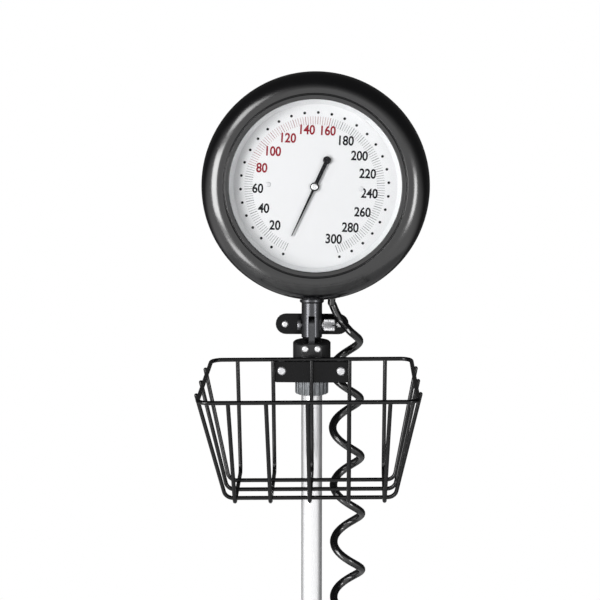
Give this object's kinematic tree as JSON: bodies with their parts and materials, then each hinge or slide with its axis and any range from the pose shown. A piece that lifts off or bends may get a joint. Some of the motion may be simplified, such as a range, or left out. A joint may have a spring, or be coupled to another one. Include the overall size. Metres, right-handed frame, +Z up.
{
  "type": "stand aneroid sphygmomanometer",
  "caption": "Large-dial aneroid blood pressure gauge on a tilting neck, with a wire basket and a hanging coiled hose, on a telescopic pole with a rolling star base.",
  "frame": {"origin": "on the floor, at the middle of the base's footprint box", "axes": "+Z up, front of the dial towards -Y, +X to the right of someone who reads the dial"},
  "size_m": [0.5604, 0.533, 1.3167],
  "materials": {
    "satin_black": "satin black moulding",
    "black_coating": "glossy black coating",
    "black_nylon": "matt black moulding",
    "hose_rubber": "glossy black hose",
    "chrome": "polished",
    "steel": "plain",
    "brass": "turned",
    "dial_white": "white enamel",
    "ring_silver": "satin silver",
    "lens_clear": "clear",
    "tread": "grey-black tread"
  },
  "bodies": {
    "base": {"base_hub": "black_nylon", "leg_1": "black_nylon", "leg_2": "black_nylon", "leg_3": "black_nylon", "leg_4": "black_nylon", "leg_5": "black_nylon", "outer_tube": "satin_black", "tube_bush": "black_nylon"},
    "lock": {"lock_collar": "satin_black"},
    "mast": {"inner_tube": "chrome", "tube_glide": "black_nylon"},
    "nut": {"clamp_nut": "black_nylon"},
    "head": {"swivel_collar": "satin_black", "hinge_tongue": "black_coating", "collar_screw_left": "chrome", "collar_screw_right": "chrome", "rear_plate": "satin_black", "rear_plate_screw_left": "chrome", "rear_plate_screw_right": "chrome", "stem_screw": "chrome", "basket_plate": "black_coating", "basket_screw_left": "steel", "basket_screw_right": "steel", "basket": "black_coating", "hose_lead": "hose_rubber", "hose_coil": "hose_rubber", "hose_connector": "chrome"},
    "gauge": {"neck_post": "black_coating", "neck_nut": "steel", "hinge_bolt": "black_coating", "gauge_case": "satin_black", "back_cover": "satin_black", "back_screw_1": "steel", "back_screw_2": "steel", "back_screw_3": "steel", "bezel_ring": "satin_black", "lens": "lens_clear", "dial_ring": "ring_silver", "dial_plate": "dial_white", "dial_screw_left": "steel", "dial_screw_right": "steel", "movement_frame": "steel", "capsule": "brass", "inlet_gland": "brass", "inlet_pipe": "brass"},
    "knob": {"tilt_knob": "chrome"},
    "needle": {"pointer": "black_nylon", "pointer_cap": "chrome", "pinion_arbor": "steel"},
    "sector": {"sector_gear": "brass"},
    "fork_1": {"caster_fork_1": "steel"},
    "wheel_1": {"caster_wheel_1": "tread"},
    "fork_2": {"caster_fork_2": "steel"},
    "wheel_2": {"caster_wheel_2": "tread"},
    "fork_3": {"caster_fork_3": "steel"},
    "wheel_3": {"caster_wheel_3": "tread"},
    "fork_4": {"caster_fork_4": "steel"},
    "wheel_4": {"caster_wheel_4": "tread"},
    "fork_5": {"caster_fork_5": "steel"},
    "wheel_5": {"caster_wheel_5": "tread"}
  },
  "joints": [
    {"name": "caster_swivel_1", "type": "hinge", "parent": "base", "child": "fork_1", "pos_m": [0, -0.22393, 0.0592], "axis": [0, 0, 1], "continuous": true},
    {"name": "wheel_spin_1", "type": "hinge", "parent": "fork_1", "child": "wheel_1", "pos_m": [0, -0.24193, 0.02452], "axis": [1, 0, 0], "continuous": true},
    {"name": "caster_swivel_2", "type": "hinge", "parent": "base", "child": "fork_2", "pos_m": [0.23776, -0.05119, 0.0592], "axis": [0, 0, 1], "continuous": true},
    {"name": "wheel_spin_2", "type": "hinge", "parent": "fork_2", "child": "wheel_2", "pos_m": [0.25488, -0.05675, 0.02452], "axis": [0.309, 0.9511, 0], "continuous": true},
    {"name": "caster_swivel_3", "type": "hinge", "parent": "base", "child": "fork_3", "pos_m": [0.14695, 0.22832, 0.0592], "axis": [0, 0, 1], "continuous": true},
    {"name": "wheel_spin_3", "type": "hinge", "parent": "fork_3", "child": "wheel_3", "pos_m": [0.15753, 0.24289, 0.02452], "axis": [-0.809, 0.5878, 0], "continuous": true},
    {"name": "caster_swivel_4", "type": "hinge", "parent": "base", "child": "fork_4", "pos_m": [-0.14695, 0.22832, 0.0592], "axis": [0, 0, 1], "continuous": true},
    {"name": "wheel_spin_4", "type": "hinge", "parent": "fork_4", "child": "wheel_4", "pos_m": [-0.15753, 0.24289, 0.02452], "axis": [-0.809, -0.5878, 0], "continuous": true},
    {"name": "caster_swivel_5", "type": "hinge", "parent": "base", "child": "fork_5", "pos_m": [-0.23776, -0.05119, 0.0592], "axis": [0, 0, 1], "continuous": true},
    {"name": "wheel_spin_5", "type": "hinge", "parent": "fork_5", "child": "wheel_5", "pos_m": [-0.25488, -0.05675, 0.02452], "axis": [0.309, -0.9511, 0], "continuous": true},
    {"name": "lock_twist", "type": "hinge", "parent": "base", "child": "lock", "pos_m": [0, 0.02607, 0.7], "axis": [0, 0, 1], "range_deg": [0, 90]},
    {"name": "height_slide", "type": "slide", "parent": "base", "child": "mast", "axis": [0, 0, 1], "range_m": [-0.2, 0.2]},
    {"name": "head_swivel", "type": "hinge", "parent": "mast", "child": "head", "pos_m": [0, 0.02607, 1.05], "axis": [0, 0, 1], "continuous": true},
    {"name": "nut_twist", "type": "hinge", "parent": "head", "child": "nut", "pos_m": [0, 0.02607, 1.035], "axis": [0, 0, 1], "range_deg": [0, 90]},
    {"name": "gauge_tilt", "type": "hinge", "parent": "head", "child": "gauge", "pos_m": [0, 0.02607, 1.09], "axis": [-1, 0, 0], "range_deg": [-30, 20], "deforming": ["hose_lead"]},
    {"name": "tilt_knob_turn", "type": "hinge", "parent": "gauge", "child": "knob", "pos_m": [0.0155, 0.02607, 1.09], "axis": [1, 0, 0], "range_deg": [0, 180]},
    {"name": "pointer_turn", "type": "hinge", "parent": "gauge", "child": "needle", "pos_m": [0.00232, 0.03926, 1.214], "axis": [0, 0.9888, -0.1495], "range_deg": [0, 315], "stiffness_Nm_per_rad": 0.01},
    {"name": "sector_turn", "type": "hinge", "parent": "gauge", "child": "sector", "pos_m": [-0.02405, 0.03944, 1.21518], "axis": [0, 0.9888, -0.1495], "range_deg": [-31.6, 0.1]}
  ],
  "couplings": [
    {"joint": "sector_turn", "follows": "pointer_turn", "ratio": -0.1}
  ]
}
